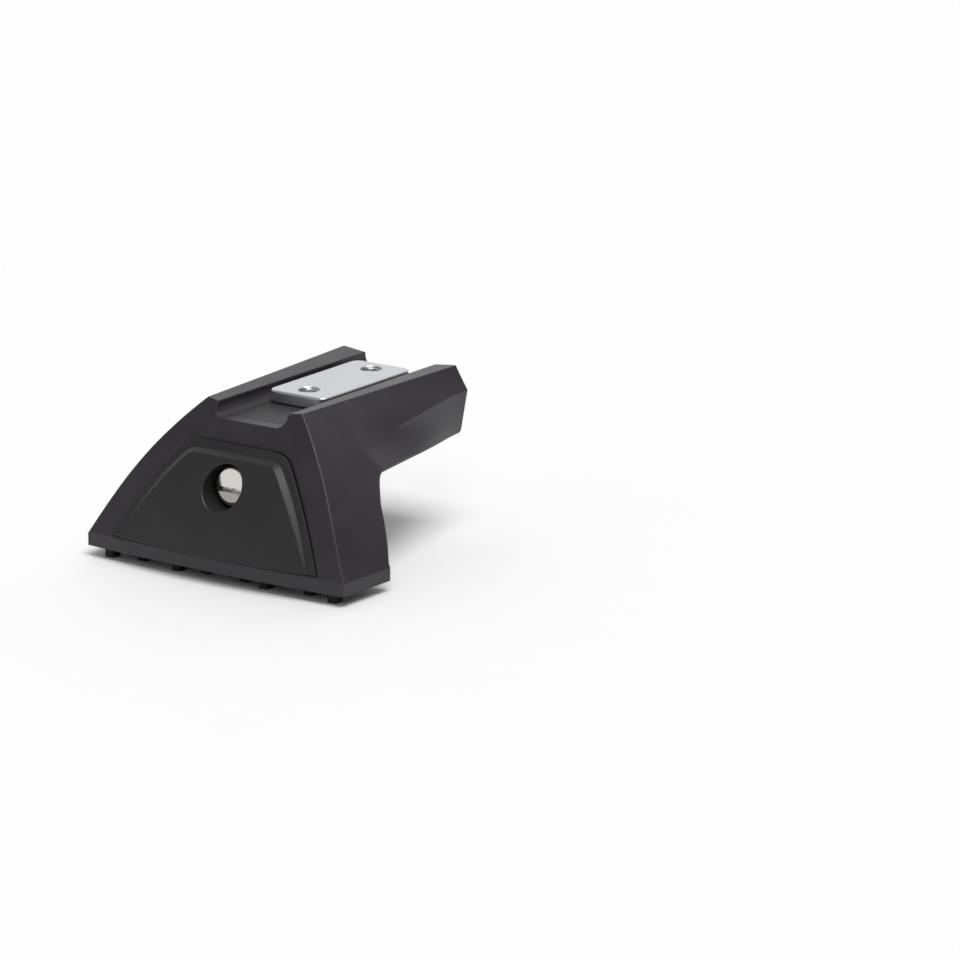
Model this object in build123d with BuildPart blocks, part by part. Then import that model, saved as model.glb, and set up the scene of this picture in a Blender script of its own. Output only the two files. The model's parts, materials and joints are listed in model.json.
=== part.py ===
import os
from math import cos, hypot, radians, sin, sqrt

from build123d import *

# Roof bar foot. The bar lies along Y in the channel on top, the locking cover faces -Y,
# and the origin is the middle of the two fixing holes at the underside of the base.

# Base and leg
base_width = 120.0
base_depth = 28.0
front_reach = 16.0
front_bow = 2.25
skirt_height = 5.05
heel_height = 6.2
base_flare = 0.03
side_bulge = 3.3
leg_wall = 4.2
floor_height = 7.4

# Arm and rails
body_height = 57.2
rail_front_width = 45.6
rail_flare = 0.053
rail_pitch = 0.115
front_lean = 27.2
front_bulge = 2.1
arm_reach = 117.0
arm_depth = 25.2
arm_wall = 4.6
arm_tip_round = 2.0
knee_reach = 39.8
knee_round = 6.0
ridge_drop_knee = 13.2
ridge_drop_end = 7.8
end_top_width = 53.8
end_ridge_width = 65.0
end_under_width = 58.0
front_edge_round = 0.8
rear_edge_round = 1.0
rail_edge_round = 0.4
pocket_setback = 9.7
pocket_corner = 3.0
rib_thickness = 3.0
rib_height = 7.0

# Bar channel and its liner
channel_width = 33.1
channel_depth = 5.3
channel_round = 4.0
liner_setback = 5.4
liner_end = 3.0
liner_width = 25.2
liner_thickness = 1.6
liner_corner = 2.0
liner_gap = 0.1
liner_hole = 9.2
seat_floor = 8.0

# Clamp plate, its two screws, their washers and the bushes that the screws pull against
plate_length = 56.4
plate_width = 26.8
plate_thickness = 4.5
plate_front = 50.4
plate_lift = 0.5
plate_corner = 4.0
plate_edge_round = 0.8
plate_hole_chamfer = 0.4
screw_spacing = 39.2
screw_diameter = 8.0
screw_length = 16.0
screw_head_diameter = 13.0
screw_head_height = 5.0
screw_head_chamfer = 0.6
screw_socket = 5.0
screw_socket_depth = 2.8
screw_tip_chamfer = 0.8
thread_gap = 0.05
washer_diameter = 16.0
washer_thickness = 1.6
washer_bore = 8.4
spring_diameter = 14.8
spring_thickness = 2.0
spring_slot = 1.6
spring_slant = 25.0
bush_diameter = 14.0
bush_bore = 8.6
bush_chamfer = 0.3
press_gap = 0.02

# Cover
cover_sill = 6.3
cover_headroom = 15.0
cover_base_width = 97.4
cover_top_width = 44.0
cover_side_bulge = 1.6
cover_corner = 11.0
cover_seam = 0.4
cover_crown = 300.0
cover_proud_foot = 3.0
cover_proud_top = 3.6
cover_proud_bulge = 0.6
border_width_foot = 0.8
border_width_top = 3.0
border_proud_foot = 2.9
border_proud_top = 2.2
bevel_width = 3.0
bevel_depth = 1.6
cover_seat_depth = 2.0
cover_seat_gap = 0.2
cover_rim = 2.8
cover_rim_chamfer = 1.3
cover_wall = 2.4
opening_inset = 4.5
opening_drop = 4.65
opening_corner = 7.0
hinge_ahead = 0.35
hook_width = 12.0
hook_spacing = 56.0
hook_reach = 6.2
hook_thickness = 2.3
hook_drop = 2.7
hook_gap = 0.35
hook_root = 1.3

# Lock
lock_height = 30.6
lock_tilt = 7.0
lock_bore = 17.3
lock_boss_wall = 1.75
lock_rim_chamfer = 0.4
lock_recess = 5.6
plug_head_diameter = 14.8
plug_head_length = 2.1
plug_head_round = 0.9
plug_step_depth = 0.9
plug_step_drop = 0.6
plug_diameter = 12.0
plug_length = 10.1
plug_gap = 0.05
plug_end_gap = 0.1
keyway_width = 7.4
keyway_height = 1.7
keyway_depth = 3.5
sleeve_gap = 0.05
sleeve_flange_length = 2.3
sleeve_diameter = 15.2
sleeve_length = 7.3
boss_lip = 1.5
clip_thickness = 1.0
clip_depth = 0.7
clip_width = 2.4
clip_opening = 10.0
tail_square = 6.0
tail_gap = 0.05
tail_relief = 0.1
cam_thickness = 2.0
cam_length = 15.5
cam_width = 8.0
cam_hub = 12.0
cam_tip_round = 2.5
cam_screw_diameter = 4.0
cam_screw_length = 8.0
cam_head_diameter = 7.0
cam_head_height = 2.6
cam_head_slot = 1.0
catch_gap = 0.5
catch_width = 40.0
catch_height = 4.5

# Fixing to the roof
fixing_spacing = 48.0
fixing_hole = 8.4
fixing_bush_diameter = 13.0
spreader_width = 66.0
spreader_depth = 13.0
spreader_thickness = 2.5
spreader_corner = 3.0

# Rubber pad
lug_height = 4.1
lug_width = 4.0
lug_depth = 4.8
lug_round = 0.6
pad_width = 111.0
pad_front = 2.0
pad_rear = 3.0
pad_thickness = 2.5
pad_corner = 3.0
pad_gap = 0.2
front_lug_places = (52.2, 20.5)
back_lug_places = (38.9, 9.0)
rear_lug_places = (44.0, 14.0)
front_lug_setback = 2.6
back_lug_setback = 5.9

# Levels that follow from the sizes above
base_z = 0.0
skirt_z = base_z + skirt_height
rail_z = base_z + body_height
channel_z = rail_z - channel_depth
liner_z = channel_z - liner_thickness
pocket_z = liner_z - seat_floor
under_z = rail_z - arm_depth
end_rail_z = rail_z + rail_pitch * (end_top_width - channel_width) / 2
roof_z = end_rail_z + 1.0
ridge_knee_z = rail_z - ridge_drop_knee
ridge_end_z = rail_z - ridge_drop_end
pad_z = base_z + pad_thickness
floor_z = base_z + floor_height
heel_z = base_z + heel_height
cover_z = base_z + cover_sill
lock_z = base_z + lock_height
cover_top_z = lock_z + cover_headroom
cover_height = cover_top_z - cover_z
opening_top_z = cover_top_z - opening_drop
plate_z = channel_z + plate_lift
washer_z = pocket_z - washer_thickness
spring_z = washer_z - spring_thickness

# Distances along the bar that follow from the sizes above
front_y = -front_reach
base_rear_y = front_y + base_depth
knee_y = front_y + knee_reach
end_y = front_y + arm_reach
rail_y = front_y - front_bow + front_lean
pocket_front_y = knee_y + pocket_setback
pocket_rear_y = end_y - arm_wall
plate_y = front_y + plate_front + plate_length / 2
screw_places = (("front", plate_y - screw_spacing / 2), ("rear", plate_y + screw_spacing / 2))
fixing_places = (("left", -fixing_spacing / 2), ("right", fixing_spacing / 2))
bow_radius = (base_width / 2) ** 2 / (2 * front_bow)
bow_axis_y = front_y - front_bow + bow_radius
pad_depth = base_depth - pad_front - pad_rear
pad_y = front_y + pad_front + pad_depth / 2

# Depths along the lock's axis that follow from the sizes above
flange_depth = lock_recess + plug_head_length + plug_end_gap
lip_depth = flange_depth + sleeve_flange_length
boss_depth = lip_depth + boss_lip
boss_radius = lock_bore / 2 + lock_boss_wall
cam_depth = lock_recess + plug_length


def front_face_y(z):
    """Y of the front face on the middle plane at a height."""
    share = (z - skirt_z) / (rail_z - skirt_z)
    return front_y - front_bow + front_lean * share - 4 * front_bulge * share * (1 - share)


def cover_face_y(z):
    """Y of the cover's raised face on the middle plane at a height."""
    share = (z - cover_z) / cover_height
    proud = between(cover_proud_foot, cover_proud_top, share)
    return front_face_y(z) - proud - 4 * cover_proud_bulge * share * (1 - share)


def border_face_y(z):
    """Y of the cover's border, round its raised face, on the middle plane at a height."""
    share = (z - cover_z) / cover_height
    return front_face_y(z) - between(border_proud_foot, border_proud_top, share)


def leg_half(z, y):
    """Half width of the leg at a height and a distance along the bar."""
    foot_half = base_width / 2 + base_flare * (y - front_y)
    rail_half = rail_front_width / 2 + rail_flare * (y - rail_y)
    lean = foot_half - rail_half
    rise = rail_z - skirt_z
    chord = hypot(lean, rise)
    radius = (chord**2 / 4 + side_bulge**2) / (2 * side_bulge)
    inward = radius - side_bulge
    centre_x = (foot_half + rail_half) / 2 - inward * rise / chord
    centre_z = (skirt_z + rail_z) / 2 - inward * lean / chord
    return centre_x + sqrt(radius**2 - (z - centre_z) ** 2)


def between(start, stop, share):
    """Value part of the way from one value to another."""
    return start + (stop - start) * share


def stepped(start, stop, distance):
    """Point a distance from one point towards another."""
    share = distance / hypot(stop[0] - start[0], stop[1] - start[1])
    return between(start[0], stop[0], share), between(start[1], stop[1], share)


def turned_plane(axis_y, angle):
    """Upright plane through a vertical axis, turned from the middle plane; local X runs to the front."""
    turn = radians(angle)
    return Plane((0, axis_y, 0), x_dir=(-sin(turn), -cos(turn), 0), z_dir=(-cos(turn), sin(turn), 0))


def panel_outline(foot_inset, top_inset):
    """Cover outline drawn in from its bowed sides and its top, on the plane that leans with the cover."""
    side = []
    for level in (-band_margin, cover_slant / 2, cover_slant - top_inset):
        inset = between(foot_inset, top_inset, level / cover_slant)
        reach = sqrt((panel_radius - inset) ** 2 - (level - panel_centre[1]) ** 2)
        side.append((panel_centre[0] + reach, level))
    with BuildSketch(cover_plane) as outline:
        with BuildLine():
            Line((0, side[0][1]), side[0])
            ThreePointArc(*side)
            Line(side[-1], (0, side[-1][1]))
            mirror(about=Plane.YZ)
        make_face()
        fillet(outline.vertices().group_by(Axis.Y)[-1], cover_corner - top_inset)
    return outline.sketch


def curved_band(face_y, axis_y, shift, far_y):
    """Section of the band between a curved face, moved along the bar, and a distance along the bar."""
    levels = (cover_z - band_margin, lock_z, cover_top_z + band_margin)
    near = [(axis_y - face_y(z) - shift, z) for z in levels]
    far = axis_y - far_y
    with BuildSketch(turned_plane(axis_y, swing)) as band:
        with BuildLine():
            ThreePointArc(*near)
            Polyline(near[-1], (far, near[-1][1]), (far, near[0][1]), near[0])
        make_face()
    return band.sketch


def room_rear_y(z):
    """Y of the wall behind the room in the leg at a height."""
    slope = (knee_y - base_rear_y) / (under_z - heel_z)
    return base_rear_y + slope * (z - heel_z) - leg_wall * hypot(1, slope)


# Planes and reaches that the pieces share
swing = 12.0
prism_reach = 40.0
band_margin = 6.0
front_station = front_y - front_bow - 4.0
end_station = end_y + 2.0
end_slope = (end_ridge_width - end_top_width) / 2 / (end_rail_z - ridge_end_z)
end_roof_half = end_top_width / 2 - end_slope * (roof_z - end_rail_z)
side_levels = (
    skirt_z,
    between(skirt_z, under_z, 1 / 3),
    between(skirt_z, under_z, 2 / 3),
    under_z,
    between(under_z, ridge_knee_z, 1 / 2),
    ridge_knee_z,
)
crown_axis_y = cover_face_y(cover_z) + cover_crown
bow_axle = Axis((0, bow_axis_y, 0), (0, 0, 1))
crown_axle = Axis((0, crown_axis_y, 0), (0, 0, 1))
cover_lean = cover_face_y(cover_top_z) - cover_face_y(cover_z)
cover_slant = hypot(cover_lean, cover_height)
panel_taper = (cover_base_width - cover_top_width) / 2
panel_chord = hypot(panel_taper, cover_slant)
panel_radius = (panel_chord**2 / 4 + cover_side_bulge**2) / (2 * cover_side_bulge)
panel_centre = (
    (cover_base_width + cover_top_width) / 4 - (panel_radius - cover_side_bulge) * cover_slant / panel_chord,
    cover_slant / 2 - (panel_radius - cover_side_bulge) * panel_taper / panel_chord,
)
opening_slope = panel_taper / cover_height
cover_plane = Plane(
    (0, cover_face_y(cover_z), cover_z),
    x_dir=(1, 0, 0),
    z_dir=(0, -cover_height, cover_lean),
)
lock_turn = radians(lock_tilt)
lock_y = cover_face_y(lock_z)
lock_plane = Plane((0, lock_y, lock_z), x_dir=(1, 0, 0), z_dir=(0, -cos(lock_turn), sin(lock_turn)))
liner_front_y = front_face_y(channel_z) + liner_setback
liner_rear_y = end_y - liner_end
hinge_y = front_y - front_bow - hinge_ahead
hook_y = hinge_y + hook_reach
hook_places = (-hook_spacing / 2, hook_spacing / 2)
catch_y = lock_y + cam_depth * cos(lock_turn) + (opening_top_z - lock_z) * sin(lock_turn) - catch_gap

os.makedirs("parts", exist_ok=True)

# Recess that the cover sits in, with its ledge under the cover's rim
with BuildPart() as cover_recess:
    extrude(panel_outline(-cover_seam, -cover_seam), amount=prism_reach, both=True)
    split(bisect_by=Plane.XY.offset(cover_z - cover_seam), keep=Keep.TOP)
    ledge_depth = cover_seat_depth + cover_seat_gap
    band = curved_band(front_face_y, bow_axis_y, ledge_depth, front_y - prism_reach)
    revolve(band, axis=bow_axle, revolution_arc=2 * swing, mode=Mode.INTERSECT)

# Room inside the leg for the lock and the fixing bolts, with the lip that the lock catches on
with BuildPart() as leg_room:
    with BuildSketch(Plane.XZ.offset(prism_reach)) as opening:
        with BuildLine():
            lean = opening_inset * hypot(1, opening_slope)
            floor_half = cover_base_width / 2 - opening_slope * (floor_z - cover_z) - lean
            top_half = floor_half - opening_slope * (opening_top_z - floor_z)
            Polyline(
                (-floor_half, floor_z),
                (floor_half, floor_z),
                (top_half, opening_top_z),
                (-top_half, opening_top_z),
                close=True,
            )
        make_face()
        fillet(opening.vertices().group_by(Axis.Y)[-1], opening_corner)
    extrude(amount=-2 * prism_reach)
    with BuildSketch(Plane.YZ):
        with BuildLine():
            Polyline(
                (-prism_reach, floor_z),
                (room_rear_y(floor_z), floor_z),
                (room_rear_y(opening_top_z), opening_top_z),
                (-prism_reach, opening_top_z),
                close=True,
            )
        make_face()
    extrude(amount=base_width, both=True, mode=Mode.INTERSECT)
    with BuildSketch(Plane.YZ):
        with BuildLine():
            Polyline(
                (catch_y, opening_top_z - catch_height),
                (room_rear_y(opening_top_z - catch_height), opening_top_z - catch_height),
                (room_rear_y(opening_top_z), opening_top_z + catch_height),
                (catch_y, opening_top_z + catch_height),
                close=True,
            )
        make_face()
    extrude(amount=catch_width / 2, both=True)

# Leg and arm, one moulding: a loft along the bar, trimmed to its side profile
with BuildPart() as leg_body:
    for y in (front_station, 0.0, knee_y):
        with BuildSketch(Plane.XZ.offset(-y)):
            with BuildLine():
                side = [(leg_half(z, y), z) for z in side_levels]
                crest = (leg_half((ridge_knee_z + roof_z) / 2, y), (ridge_knee_z + roof_z) / 2)
                roof = (leg_half(roof_z, y), roof_z)
                Polyline((0, base_z), (side[0][0], base_z), side[0])
                Spline(*side)
                Spline(side[-1], crest, roof)
                Line(roof, (0, roof_z))
                mirror(about=Plane.YZ)
            make_face()
    for share in (0.5, 1.0):
        with BuildSketch(Plane.XZ.offset(-between(knee_y, end_station, share))):
            with BuildLine():
                skirt = (leg_half(skirt_z, knee_y), skirt_z)
                under = (between(leg_half(under_z, knee_y), end_under_width / 2, share), under_z)
                ridge = (
                    between(leg_half(ridge_knee_z, knee_y), end_ridge_width / 2, share),
                    between(ridge_knee_z, ridge_end_z, share),
                )
                roof = (between(leg_half(roof_z, knee_y), end_roof_half, share), roof_z)
                Polyline((0, base_z), (skirt[0], base_z), skirt)
                Spline(
                    skirt,
                    stepped(under, ridge, -2 * arm_wall),
                    stepped(under, ridge, -arm_wall),
                    under,
                    stepped(under, ridge, (ridge[1] - under_z) / 2),
                    ridge,
                )
                Spline(ridge, stepped(ridge, roof, (roof_z - ridge[1]) / 2), roof)
                Line(roof, (0, roof_z))
                mirror(about=Plane.YZ)
            make_face()
    loft()

    # Bowed front face, then the side profile of heel, knee and arm
    with BuildSketch(turned_plane(bow_axis_y, swing)):
        with BuildLine():
            face = [(bow_axis_y - front_face_y(z), z) for z in (*side_levels, roof_z)]
            far_x = bow_axis_y - end_station
            Line((face[0][0], base_z), face[0])
            Spline(*face)
            Polyline(face[-1], (far_x, roof_z), (far_x, base_z), (face[0][0], base_z))
        make_face()
    revolve(axis=bow_axle, revolution_arc=2 * swing, mode=Mode.INTERSECT)
    with BuildSketch(Plane.YZ):
        with BuildLine():
            heel = (base_rear_y, base_z)
            Polyline((end_y, roof_z), (front_station, roof_z), (front_station, base_z), heel)
            Line(heel, (base_rear_y, heel_z))
            FilletPolyline(
                (base_rear_y, heel_z),
                (knee_y, under_z),
                (end_y, under_z),
                (end_y, roof_z),
                radius=[knee_round, arm_tip_round],
            )
        make_face()
    extrude(amount=base_width, both=True, mode=Mode.INTERSECT)
    walls = leg_body.edges().filter_by(lambda edge: heel_z - skirt_z < edge.center().Z < rail_z)
    behind = walls.filter_by(lambda edge: edge.center().Y > base_rear_y - rear_edge_round)
    behind = behind.filter_by(lambda edge: abs(edge.center().X) > channel_width / 2)
    fillet(behind.filter_by(lambda edge: edge.length < end_y - knee_y), rear_edge_round)
    walls = leg_body.edges().filter_by(lambda edge: heel_z < edge.center().Z < rail_z)
    fillet(walls.filter_by(lambda edge: edge.center().Y < base_rear_y - 2 * rear_edge_round), front_edge_round)

    # Rails that lean inwards and the bar channel between them
    with BuildSketch(Plane.XZ.offset(-front_station)):
        with BuildLine():
            wall_x = channel_width / 2
            outer_x = base_width / 2
            toe = (wall_x - channel_round, channel_z)
            Line((0, channel_z), toe)
            RadiusArc(toe, (wall_x, channel_z + channel_round), -channel_round)
            Polyline(
                (wall_x, channel_z + channel_round),
                (wall_x, rail_z),
                (outer_x, rail_z + rail_pitch * (outer_x - wall_x)),
                (outer_x, roof_z + outer_x),
                (0, roof_z + outer_x),
            )
            mirror(about=Plane.YZ)
        make_face()
    extrude(amount=front_station - end_station, mode=Mode.SUBTRACT)
    rail_edges = leg_body.edges().filter_by(lambda edge: edge.center().Z > rail_z - rail_edge_round)
    fillet(rail_edges.filter_by(lambda edge: edge.length > knee_reach), rail_edge_round)

    # Liner pocket in the channel floor and the bush holes under it
    with BuildSketch(Plane.XY.offset(liner_z)):
        with Locations((0, (liner_front_y + liner_rear_y) / 2)):
            RectangleRounded(liner_width, liner_rear_y - liner_front_y, liner_corner)
    extrude(amount=channel_depth, mode=Mode.SUBTRACT)
    for _, y in screw_places:
        with BuildSketch(Plane((0, y, liner_z))):
            Circle(bush_diameter / 2 + press_gap)
        extrude(amount=-2 * seat_floor, mode=Mode.SUBTRACT)

    # Hollow under the arm, with a cross rib between the two screws
    front_half = leg_half(pocket_z, pocket_front_y) - arm_wall
    rear_half = end_under_width / 2 - arm_wall
    with BuildSketch(Plane.XY.offset(pocket_z)) as hollow:
        with BuildLine():
            Polyline(
                (-front_half, pocket_front_y),
                (front_half, pocket_front_y),
                (rear_half, pocket_rear_y),
                (-rear_half, pocket_rear_y),
                close=True,
            )
        make_face()
        fillet(hollow.vertices(), pocket_corner)
    extrude(amount=-2 * arm_depth, mode=Mode.SUBTRACT)
    with BuildSketch(Plane((0, plate_y, pocket_z))):
        Rectangle(front_half + rear_half + arm_wall, rib_thickness)
    extrude(amount=-rib_height)

    # Recess for the cover, the room behind it and the slots for its hooks
    add(cover_recess.part, mode=Mode.SUBTRACT)
    add(leg_room.part, mode=Mode.SUBTRACT)
    with BuildSketch(Plane.XY.offset(floor_z)):
        with Locations(*((x, hook_y + (hook_thickness - hook_gap) / 2) for x in hook_places)):
            Rectangle(hook_width + 2 * hook_gap, hook_thickness + 3 * hook_gap)
    extrude(amount=-hook_drop - hook_gap, mode=Mode.SUBTRACT)

    # Pad recess underneath and the bush holes above it
    with BuildSketch(Plane.XY.offset(base_z)):
        with Locations((0, pad_y)):
            RectangleRounded(pad_width + 2 * pad_gap, pad_depth + 2 * pad_gap, pad_corner + pad_gap)
    extrude(amount=pad_thickness, mode=Mode.SUBTRACT)
    with BuildSketch(Plane.XY.offset(pad_z)):
        with Locations(*((x, 0) for _, x in fixing_places)):
            Circle(fixing_bush_diameter / 2 + press_gap)
    extrude(amount=floor_height, mode=Mode.SUBTRACT)
leg_body.part.label = "leg_body"
export_step(leg_body.part, "parts/leg_body.step")

# Liner on the channel floor
with BuildPart() as seat_liner:
    with BuildSketch(Plane.XY.offset(liner_z)):
        with Locations((0, (liner_front_y + liner_rear_y) / 2)):
            RectangleRounded(
                liner_width - 2 * liner_gap,
                liner_rear_y - liner_front_y - 2 * liner_gap,
                liner_corner - liner_gap,
            )
        with Locations(*((0, y) for _, y in screw_places)):
            Circle(liner_hole / 2, mode=Mode.SUBTRACT)
    extrude(amount=liner_thickness)
seat_liner.part.label = "seat_liner"
export_step(seat_liner.part, "parts/seat_liner.step")

# Clamp plate with its two tapped holes
with BuildPart() as clamp_plate:
    with BuildSketch(Plane.XY.offset(plate_z)):
        with Locations((0, plate_y)):
            RectangleRounded(plate_width, plate_length, plate_corner)
        with Locations(*((0, y) for _, y in screw_places)):
            Circle(screw_diameter / 2 + thread_gap, mode=Mode.SUBTRACT)
    extrude(amount=plate_thickness)
    top = clamp_plate.faces().sort_by(Axis.Z)[-1]
    fillet(top.outer_wire().edges(), plate_edge_round)
    mouths = clamp_plate.faces().sort_by(Axis.Z)[-1].inner_wires()
    chamfer([edge for mouth in mouths for edge in mouth.edges()], plate_hole_chamfer)
clamp_plate.part.label = "clamp_plate"
export_step(clamp_plate.part, "parts/clamp_plate.step")

# Bush, flat washer, spring washer and screw at each end of the clamp plate
for end, y in screw_places:
    with BuildPart() as arm_bush:
        with BuildSketch(Plane((0, y, pocket_z))):
            Circle(bush_diameter / 2)
            Circle(bush_bore / 2, mode=Mode.SUBTRACT)
        extrude(amount=seat_floor)
        chamfer(arm_bush.edges().filter_by(GeomType.CIRCLE), bush_chamfer)
    arm_bush.part.label = "arm_bush_" + end
    export_step(arm_bush.part, "parts/arm_bush_" + end + ".step")

    with BuildPart() as clamp_washer:
        with BuildSketch(Plane((0, y, washer_z))):
            Circle(washer_diameter / 2)
            Circle(washer_bore / 2, mode=Mode.SUBTRACT)
        extrude(amount=washer_thickness)
    clamp_washer.part.label = "clamp_washer_" + end
    export_step(clamp_washer.part, "parts/clamp_washer_" + end + ".step")

    with BuildPart() as spring_washer:
        with BuildSketch(Plane((0, y, spring_z))):
            Circle(spring_diameter / 2)
            Circle(washer_bore / 2, mode=Mode.SUBTRACT)
            with Locations((spring_diameter / 2, 0)):
                Rectangle(spring_diameter, spring_slot, rotation=spring_slant, mode=Mode.SUBTRACT)
        extrude(amount=spring_thickness)
    spring_washer.part.label = "spring_washer_" + end
    export_step(spring_washer.part, "parts/spring_washer_" + end + ".step")

    with BuildPart() as clamp_screw:
        with BuildSketch(Plane((0, y, spring_z))):
            Circle(screw_head_diameter / 2)
        extrude(amount=-screw_head_height)
        with BuildSketch(Plane((0, y, spring_z))):
            Circle(screw_diameter / 2)
        extrude(amount=screw_length)
        rims = clamp_screw.edges().filter_by(GeomType.CIRCLE).sort_by(Axis.Z)
        chamfer(rims[0], screw_head_chamfer)
        chamfer(rims[-1], screw_tip_chamfer)
        with BuildSketch(Plane((0, y, spring_z - screw_head_height))):
            RegularPolygon(screw_socket / 2, 6, major_radius=False)
        extrude(amount=screw_socket_depth, mode=Mode.SUBTRACT)
    clamp_screw.part.label = "clamp_screw_" + end
    export_step(clamp_screw.part, "parts/clamp_screw_" + end + ".step")

# Hollow behind the cover's face, which leaves its rim
with BuildPart() as cover_hollow:
    extrude(panel_outline(cover_rim, cover_rim), amount=prism_reach, both=True)
    split(bisect_by=Plane.XY.offset(cover_z + cover_rim), keep=Keep.TOP)
    band = curved_band(border_face_y, crown_axis_y, cover_wall, end_y)
    revolve(band, axis=crown_axle, revolution_arc=2 * swing, mode=Mode.INTERSECT)

# Boss that carries the lock, from the back of the cover's face inwards
with BuildPart() as lock_boss:
    with BuildSketch(lock_plane.offset(-boss_depth)):
        Circle(boss_radius)
    extrude(amount=prism_reach)
    band = curved_band(cover_face_y, crown_axis_y, cover_wall / 2, end_y)
    revolve(band, axis=crown_axle, revolution_arc=2 * swing, mode=Mode.INTERSECT)

# Raised face of the cover, bevelled at its sides and top down to the border
with BuildPart() as raised_face:
    extrude(panel_outline(border_width_foot, border_width_top), amount=prism_reach, both=True)
    split(bisect_by=Plane.XY.offset(cover_z), keep=Keep.TOP)
    band = curved_band(cover_face_y, crown_axis_y, 0, end_y)
    revolve(band, axis=crown_axle, revolution_arc=2 * swing, mode=Mode.INTERSECT)
    band = curved_band(border_face_y, crown_axis_y, cover_wall / 2, front_y - prism_reach)
    revolve(band, axis=crown_axle, revolution_arc=2 * swing, mode=Mode.INTERSECT)
    crowned = raised_face.faces().sort_by(SortBy.AREA)[-2:].sort_by(Axis.Y)[0]
    rim = crowned.edges().filter_by(lambda edge: edge.center().Z > cover_z + bevel_width)
    chamfer(rim, bevel_width, bevel_depth, reference=crowned)

# Cover: the outline pushed along its lean, cut to its border's face and to the ledge behind it
with BuildPart() as front_cover:
    extrude(panel_outline(0, 0), amount=prism_reach, both=True)
    split(bisect_by=Plane.XY.offset(cover_z), keep=Keep.TOP)
    band = curved_band(border_face_y, crown_axis_y, 0, end_y)
    revolve(band, axis=crown_axle, revolution_arc=2 * swing, mode=Mode.INTERSECT)
    band = curved_band(front_face_y, bow_axis_y, cover_seat_depth, front_y - prism_reach)
    revolve(band, axis=bow_axle, revolution_arc=2 * swing, mode=Mode.INTERSECT)
    back = front_cover.faces().sort_by(SortBy.AREA)[-2:].sort_by(Axis.Y)[-1]
    chamfer(back.edges().filter_by(lambda edge: edge.center().Z > cover_z + cover_rim), cover_rim_chamfer)
    add(raised_face.part)
    add(cover_hollow.part, mode=Mode.SUBTRACT)
    add(lock_boss.part)
    with BuildSketch(lock_plane.offset(-lip_depth)):
        Circle(lock_bore / 2)
    extrude(amount=prism_reach, mode=Mode.SUBTRACT)
    rounds = front_cover.edges().filter_by(lambda edge: edge.length > 3 * lock_bore)
    chamfer(rounds.sort_by_distance(lock_plane.origin)[0], lock_rim_chamfer)
    with BuildSketch(lock_plane.offset(-boss_depth)):
        Circle(sleeve_diameter / 2 + sleeve_gap)
    extrude(amount=prism_reach, mode=Mode.SUBTRACT)
    for x in hook_places:
        with BuildSketch(Plane.YZ.offset(x - hook_width / 2)):
            with BuildLine():
                tongue_z = floor_z + hook_gap
                root_y = front_face_y(cover_z) + cover_seat_depth - hook_root
                Polyline(
                    (root_y, tongue_z),
                    (hook_y, tongue_z),
                    (hook_y, floor_z - hook_drop),
                    (hook_y + hook_thickness, floor_z - hook_drop),
                    (hook_y + hook_thickness, tongue_z + hook_thickness),
                    (root_y, tongue_z + hook_thickness),
                    close=True,
                )
            make_face()
        extrude(amount=hook_width)
front_cover.part.label = "front_cover"
export_step(front_cover.part, "parts/front_cover.step")

# Lock sleeve, seated on the lip in the cover's boss
with BuildPart() as lock_sleeve:
    with BuildSketch(lock_plane.offset(-flange_depth)):
        Circle(lock_bore / 2 - sleeve_gap)
    extrude(amount=-sleeve_flange_length)
    with BuildSketch(lock_plane.offset(-lip_depth)):
        Circle(sleeve_diameter / 2)
    extrude(amount=sleeve_flange_length - sleeve_length)
    with BuildSketch(lock_plane.offset(-boss_depth)):
        Circle(sleeve_diameter / 2)
        Circle(sleeve_diameter / 2 - clip_depth, mode=Mode.SUBTRACT)
    extrude(amount=-clip_thickness, mode=Mode.SUBTRACT)
    with BuildSketch(lock_plane.offset(-flange_depth)):
        Circle(plug_diameter / 2 + plug_gap)
    extrude(amount=-sleeve_length, mode=Mode.SUBTRACT)
lock_sleeve.part.label = "lock_sleeve"
export_step(lock_sleeve.part, "parts/lock_sleeve.step")

# Open clip in the sleeve's groove
with BuildPart() as lock_clip:
    with BuildSketch(lock_plane.offset(-boss_depth)):
        Circle(sleeve_diameter / 2 - clip_depth + clip_width)
        Circle(sleeve_diameter / 2 - clip_depth, mode=Mode.SUBTRACT)
        with Locations((0, -sleeve_diameter / 2)):
            Rectangle(clip_opening, sleeve_diameter, mode=Mode.SUBTRACT)
    extrude(amount=-clip_thickness)
lock_clip.part.label = "lock_clip"
export_step(lock_clip.part, "parts/lock_clip.step")

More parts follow.
